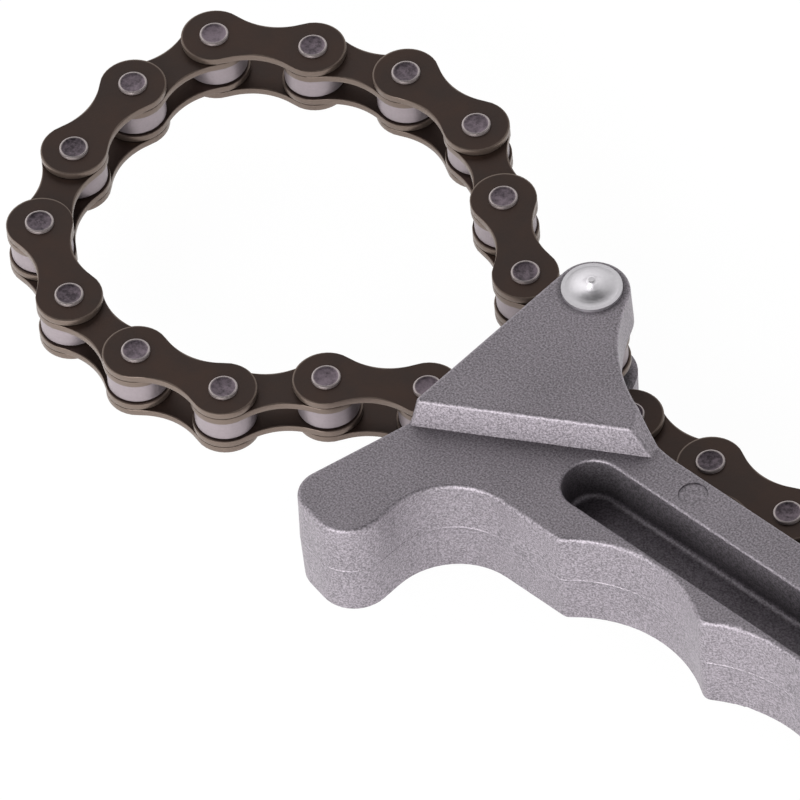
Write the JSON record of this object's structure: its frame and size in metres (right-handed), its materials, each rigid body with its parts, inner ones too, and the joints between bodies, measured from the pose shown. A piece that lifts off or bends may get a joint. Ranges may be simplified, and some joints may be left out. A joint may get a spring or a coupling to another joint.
{
  "type": "chain oil filter pliers",
  "caption": "Hand tool with a die-cast forked handle and a pivoting roller chain that loops round an oil filter canister and grips it.",
  "frame": {"origin": "axis of the gripped canister, inside the chain loop, at the mid-plane of handle and chain", "axes": "+X along the handle towards its tail, +Y towards the side on which the free end of the chain leaves the handle, +Z along the pivot rivet towards its nipple"},
  "size_m": [0.2235, 0.0809, 0.0255],
  "materials": {
    "cast_aluminium": "fine-grained matt die casting",
    "rivet_steel": "bright zinc, spun head",
    "chain_plates": "oil-blackened steel with bright edges",
    "roller_steel": "bare satin steel"
  },
  "bodies": {
    "handle": {"cast_body": "cast_aluminium", "pivot_rivet": "rivet_steel"},
    "link_01": {"inner_link_01": "chain_plates"},
    "link_02": {"outer_link_02": "chain_plates"},
    "link_03": {"inner_link_03": "chain_plates"},
    "link_04": {"outer_link_04": "chain_plates"},
    "link_05": {"inner_link_05": "chain_plates"},
    "link_06": {"outer_link_06": "chain_plates"},
    "link_07": {"inner_link_07": "chain_plates"},
    "link_08": {"outer_link_08": "chain_plates"},
    "link_09": {"inner_link_09": "chain_plates"},
    "link_10": {"outer_link_10": "chain_plates"},
    "link_11": {"inner_link_11": "chain_plates"},
    "link_12": {"outer_link_12": "chain_plates"},
    "link_13": {"inner_link_13": "chain_plates"},
    "link_14": {"outer_link_14": "chain_plates"},
    "link_15": {"inner_link_15": "chain_plates"},
    "link_16": {"outer_link_16": "chain_plates"},
    "link_17": {"inner_link_17": "chain_plates"},
    "link_18": {"outer_link_18": "chain_plates"},
    "link_19": {"inner_link_19": "chain_plates"},
    "link_20": {"outer_link_20": "chain_plates"},
    "link_21": {"inner_link_21": "chain_plates"},
    "link_22": {"outer_link_22": "chain_plates"},
    "link_23": {"inner_link_23": "chain_plates"},
    "link_24": {"outer_link_24": "chain_plates"},
    "link_25": {"inner_link_25": "chain_plates"},
    "link_26": {"outer_link_26": "chain_plates"},
    "link_27": {"inner_link_27": "chain_plates"},
    "roller_01_body": {"roller_01": "roller_steel"},
    "roller_02_body": {"roller_02": "roller_steel"},
    "roller_03_body": {"roller_03": "roller_steel"},
    "roller_04_body": {"roller_04": "roller_steel"},
    "roller_05_body": {"roller_05": "roller_steel"},
    "roller_06_body": {"roller_06": "roller_steel"},
    "roller_07_body": {"roller_07": "roller_steel"},
    "roller_08_body": {"roller_08": "roller_steel"},
    "roller_09_body": {"roller_09": "roller_steel"},
    "roller_10_body": {"roller_10": "roller_steel"},
    "roller_11_body": {"roller_11": "roller_steel"},
    "roller_12_body": {"roller_12": "roller_steel"},
    "roller_13_body": {"roller_13": "roller_steel"},
    "roller_14_body": {"roller_14": "roller_steel"},
    "roller_15_body": {"roller_15": "roller_steel"},
    "roller_16_body": {"roller_16": "roller_steel"},
    "roller_17_body": {"roller_17": "roller_steel"},
    "roller_18_body": {"roller_18": "roller_steel"},
    "roller_19_body": {"roller_19": "roller_steel"},
    "roller_20_body": {"roller_20": "roller_steel"},
    "roller_21_body": {"roller_21": "roller_steel"},
    "roller_22_body": {"roller_22": "roller_steel"},
    "roller_23_body": {"roller_23": "roller_steel"},
    "roller_24_body": {"roller_24": "roller_steel"},
    "roller_25_body": {"roller_25": "roller_steel"},
    "roller_26_body": {"roller_26": "roller_steel"},
    "roller_27_body": {"roller_27": "roller_steel"},
    "roller_28_body": {"roller_28": "roller_steel"}
  },
  "joints": [
    {"name": "loop_pivot", "type": "hinge", "parent": "handle", "child": "link_01", "pos_m": [0.0415, 0.011, 0], "axis": [0, 0, 1], "range_deg": [-20, 20]},
    {"name": "chain_joint_01", "type": "hinge", "parent": "link_01", "child": "link_02", "pos_m": [0.02885, 0.01211, 0], "axis": [0, 0, 1], "range_deg": [-15.85, 15.85]},
    {"name": "chain_joint_02", "type": "hinge", "parent": "link_02", "child": "link_03", "pos_m": [0.01845, 0.01939, 0], "axis": [0, 0, 1], "range_deg": [-13.16, 13.16]},
    {"name": "chain_joint_03", "type": "hinge", "parent": "link_03", "child": "link_04", "pos_m": [0.00767, 0.02612, 0], "axis": [0, 0, 1], "range_deg": [-12.9, 12.9]},
    {"name": "chain_joint_04", "type": "hinge", "parent": "link_04", "child": "link_05", "pos_m": [-0.005, 0.0269, 0], "axis": [0, 0, 1], "range_deg": [-4.01, 4.01]},
    {"name": "chain_joint_05", "type": "hinge", "parent": "link_05", "child": "link_06", "pos_m": [-0.01697, 0.02266, 0], "axis": [0, 0, 1], "range_deg": [-17.1, 17.1]},
    {"name": "chain_joint_06", "type": "hinge", "parent": "link_06", "child": "link_07", "pos_m": [-0.02792, 0.01621, 0], "axis": [0, 0, 1], "range_deg": [-10.21, 10.21]},
    {"name": "chain_joint_07", "type": "hinge", "parent": "link_07", "child": "link_08", "pos_m": [-0.03012, 0.0037, 0], "axis": [0, 0, 1], "range_deg": [-6.17, 6.17]},
    {"name": "chain_joint_08", "type": "hinge", "parent": "link_08", "child": "link_09", "pos_m": [-0.02835, -0.00887, 0], "axis": [0, 0, 1], "range_deg": [-4.84, 4.84]},
    {"name": "chain_joint_09", "type": "hinge", "parent": "link_09", "child": "link_10", "pos_m": [-0.02319, -0.02047, 0], "axis": [0, 0, 1], "range_deg": [-1.69, 1.69]},
    {"name": "chain_joint_10", "type": "hinge", "parent": "link_10", "child": "link_11", "pos_m": [-0.01213, -0.02673, 0], "axis": [0, 0, 1], "range_deg": [-11.88, 11.88]},
    {"name": "chain_joint_11", "type": "hinge", "parent": "link_11", "child": "link_12", "pos_m": [0.0005, -0.02806, 0], "axis": [0, 0, 1], "range_deg": [-8.03, 8.03]},
    {"name": "chain_joint_12", "type": "hinge", "parent": "link_12", "child": "link_13", "pos_m": [0.01294, -0.02552, 0], "axis": [0, 0, 1], "range_deg": [-3.59, 3.59]},
    {"name": "chain_joint_13", "type": "hinge", "parent": "link_13", "child": "link_14", "pos_m": [0.02152, -0.01616, 0], "axis": [0, 0, 1], "range_deg": [-1.62, 1.62]},
    {"name": "chain_joint_14", "type": "hinge", "parent": "link_14", "child": "link_15", "pos_m": [0.03223, -0.00934, 0], "axis": [0, 0, 1], "range_deg": [-6.16, 6.16]},
    {"name": "chain_joint_15", "type": "hinge", "parent": "link_15", "child": "link_16", "pos_m": [0.04323, -0.00299, 0], "axis": [0, 0, 1], "range_deg": [0, 15]},
    {"name": "chain_joint_16", "type": "hinge", "parent": "link_16", "child": "link_17", "pos_m": [0.05423, 0.00336, 0], "axis": [0, 0, 1], "range_deg": [-22.58, 22.58]},
    {"name": "chain_joint_17", "type": "hinge", "parent": "link_17", "child": "link_18", "pos_m": [0.06691, 0.00403, 0], "axis": [0, 0, 1], "range_deg": [-22.58, 22.58]},
    {"name": "chain_joint_18", "type": "hinge", "parent": "link_18", "child": "link_19", "pos_m": [0.07961, 0.00403, 0], "axis": [0, 0, 1], "range_deg": [-2, 20]},
    {"name": "chain_joint_19", "type": "hinge", "parent": "link_19", "child": "link_20", "pos_m": [0.0923, 0.00447, 0], "axis": [0, 0, 1], "range_deg": [-1, 20]},
    {"name": "chain_joint_20", "type": "hinge", "parent": "link_20", "child": "link_21", "pos_m": [0.10499, 0.00514, 0], "axis": [0, 0, 1], "range_deg": [-4, 20]},
    {"name": "chain_joint_21", "type": "hinge", "parent": "link_21", "child": "link_22", "pos_m": [0.11759, 0.00668, 0], "axis": [0, 0, 1], "range_deg": [-6, 20]},
    {"name": "chain_joint_22", "type": "hinge", "parent": "link_22", "child": "link_23", "pos_m": [0.12997, 0.00954, 0], "axis": [0, 0, 1], "range_deg": [-7, 20]},
    {"name": "chain_joint_23", "type": "hinge", "parent": "link_23", "child": "link_24", "pos_m": [0.1419, 0.01388, 0], "axis": [0, 0, 1], "range_deg": [-7, 20]},
    {"name": "chain_joint_24", "type": "hinge", "parent": "link_24", "child": "link_25", "pos_m": [0.15322, 0.01965, 0], "axis": [0, 0, 1], "range_deg": [-5, 20]},
    {"name": "chain_joint_25", "type": "hinge", "parent": "link_25", "child": "link_26", "pos_m": [0.16399, 0.02638, 0], "axis": [0, 0, 1], "range_deg": [-3, 20]},
    {"name": "chain_joint_26", "type": "hinge", "parent": "link_26", "child": "link_27", "pos_m": [0.17439, 0.03366, 0], "axis": [0, 0, 1], "range_deg": [-1, 20]},
    {"name": "roller_spin_01", "type": "hinge", "parent": "link_01", "child": "roller_01_body", "pos_m": [0.0415, 0.011, 0], "axis": [0, 0, 1], "continuous": true},
    {"name": "roller_spin_02", "type": "hinge", "parent": "link_01", "child": "roller_02_body", "pos_m": [0.02885, 0.01211, 0], "axis": [0, 0, 1], "continuous": true},
    {"name": "roller_spin_03", "type": "hinge", "parent": "link_03", "child": "roller_03_body", "pos_m": [0.01845, 0.01939, 0], "axis": [0, 0, 1], "continuous": true},
    {"name": "roller_spin_04", "type": "hinge", "parent": "link_03", "child": "roller_04_body", "pos_m": [0.00767, 0.02612, 0], "axis": [0, 0, 1], "continuous": true},
    {"name": "roller_spin_05", "type": "hinge", "parent": "link_05", "child": "roller_05_body", "pos_m": [-0.005, 0.0269, 0], "axis": [0, 0, 1], "continuous": true},
    {"name": "roller_spin_06", "type": "hinge", "parent": "link_05", "child": "roller_06_body", "pos_m": [-0.01697, 0.02266, 0], "axis": [0, 0, 1], "continuous": true},
    {"name": "roller_spin_07", "type": "hinge", "parent": "link_07", "child": "roller_07_body", "pos_m": [-0.02792, 0.01621, 0], "axis": [0, 0, 1], "continuous": true},
    {"name": "roller_spin_08", "type": "hinge", "parent": "link_07", "child": "roller_08_body", "pos_m": [-0.03012, 0.0037, 0], "axis": [0, 0, 1], "continuous": true},
    {"name": "roller_spin_09", "type": "hinge", "parent": "link_09", "child": "roller_09_body", "pos_m": [-0.02835, -0.00887, 0], "axis": [0, 0, 1], "continuous": true},
    {"name": "roller_spin_10", "type": "hinge", "parent": "link_09", "child": "roller_10_body", "pos_m": [-0.02319, -0.02047, 0], "axis": [0, 0, 1], "continuous": true},
    {"name": "roller_spin_11", "type": "hinge", "parent": "link_11", "child": "roller_11_body", "pos_m": [-0.01213, -0.02673, 0], "axis": [0, 0, 1], "continuous": true},
    {"name": "roller_spin_12", "type": "hinge", "parent": "link_11", "child": "roller_12_body", "pos_m": [0.0005, -0.02806, 0], "axis": [0, 0, 1], "continuous": true},
    {"name": "roller_spin_13", "type": "hinge", "parent": "link_13", "child": "roller_13_body", "pos_m": [0.01294, -0.02552, 0], "axis": [0, 0, 1], "continuous": true},
    {"name": "roller_spin_14", "type": "hinge", "parent": "link_13", "child": "roller_14_body", "pos_m": [0.02152, -0.01616, 0], "axis": [0, 0, 1], "continuous": true},
    {"name": "roller_spin_15", "type": "hinge", "parent": "link_15", "child": "roller_15_body", "pos_m": [0.03223, -0.00934, 0], "axis": [0, 0, 1], "continuous": true},
    {"name": "roller_spin_16", "type": "hinge", "parent": "link_15", "child": "roller_16_body", "pos_m": [0.04323, -0.00299, 0], "axis": [0, 0, 1], "continuous": true},
    {"name": "roller_spin_17", "type": "hinge", "parent": "link_17", "child": "roller_17_body", "pos_m": [0.05423, 0.00336, 0], "axis": [0, 0, 1], "continuous": true},
    {"name": "roller_spin_18", "type": "hinge", "parent": "link_17", "child": "roller_18_body", "pos_m": [0.06691, 0.00403, 0], "axis": [0, 0, 1], "continuous": true},
    {"name": "roller_spin_19", "type": "hinge", "parent": "link_19", "child": "roller_19_body", "pos_m": [0.07961, 0.00403, 0], "axis": [0, 0, 1], "continuous": true},
    {"name": "roller_spin_20", "type": "hinge", "parent": "link_19", "child": "roller_20_body", "pos_m": [0.0923, 0.00447, 0], "axis": [0, 0, 1], "continuous": true},
    {"name": "roller_spin_21", "type": "hinge", "parent": "link_21", "child": "roller_21_body", "pos_m": [0.10499, 0.00514, 0], "axis": [0, 0, 1], "continuous": true},
    {"name": "roller_spin_22", "type": "hinge", "parent": "link_21", "child": "roller_22_body", "pos_m": [0.11759, 0.00668, 0], "axis": [0, 0, 1], "continuous": true},
    {"name": "roller_spin_23", "type": "hinge", "parent": "link_23", "child": "roller_23_body", "pos_m": [0.12997, 0.00954, 0], "axis": [0, 0, 1], "continuous": true},
    {"name": "roller_spin_24", "type": "hinge", "parent": "link_23", "child": "roller_24_body", "pos_m": [0.1419, 0.01388, 0], "axis": [0, 0, 1], "continuous": true},
    {"name": "roller_spin_25", "type": "hinge", "parent": "link_25", "child": "roller_25_body", "pos_m": [0.15322, 0.01965, 0], "axis": [0, 0, 1], "continuous": true},
    {"name": "roller_spin_26", "type": "hinge", "parent": "link_25", "child": "roller_26_body", "pos_m": [0.16399, 0.02638, 0], "axis": [0, 0, 1], "continuous": true},
    {"name": "roller_spin_27", "type": "hinge", "parent": "link_27", "child": "roller_27_body", "pos_m": [0.17439, 0.03366, 0], "axis": [0, 0, 1], "continuous": true},
    {"name": "roller_spin_28", "type": "hinge", "parent": "link_27", "child": "roller_28_body", "pos_m": [0.18504, 0.04058, 0], "axis": [0, 0, 1], "continuous": true}
  ],
  "couplings": [
    {"joint": "chain_joint_01", "follows": "loop_pivot", "ratio": -0.63966},
    {"joint": "chain_joint_02", "follows": "loop_pivot", "ratio": -0.52731},
    {"joint": "chain_joint_03", "follows": "loop_pivot", "ratio": -0.51662},
    {"joint": "chain_joint_04", "follows": "loop_pivot", "ratio": -0.14609},
    {"joint": "chain_joint_05", "follows": "loop_pivot", "ratio": 0.69157},
    {"joint": "chain_joint_06", "follows": "loop_pivot", "ratio": 0.40474},
    {"joint": "chain_joint_07", "follows": "loop_pivot", "ratio": 0.23624},
    {"joint": "chain_joint_08", "follows": "loop_pivot", "ratio": 0.18078},
    {"joint": "chain_joint_09", "follows": "loop_pivot", "ratio": -0.049672},
    {"joint": "chain_joint_10", "follows": "loop_pivot", "ratio": -0.47404},
    {"joint": "chain_joint_11", "follows": "loop_pivot", "ratio": -0.31362},
    {"joint": "chain_joint_12", "follows": "loop_pivot", "ratio": -0.12878},
    {"joint": "chain_joint_13", "follows": "loop_pivot", "ratio": 0.046557},
    {"joint": "chain_joint_14", "follows": "loop_pivot", "ratio": 0.23592},
    {"joint": "chain_joint_16", "follows": "loop_pivot", "ratio": -0.92},
    {"joint": "chain_joint_17", "follows": "loop_pivot", "ratio": 0.92}
  ]
}
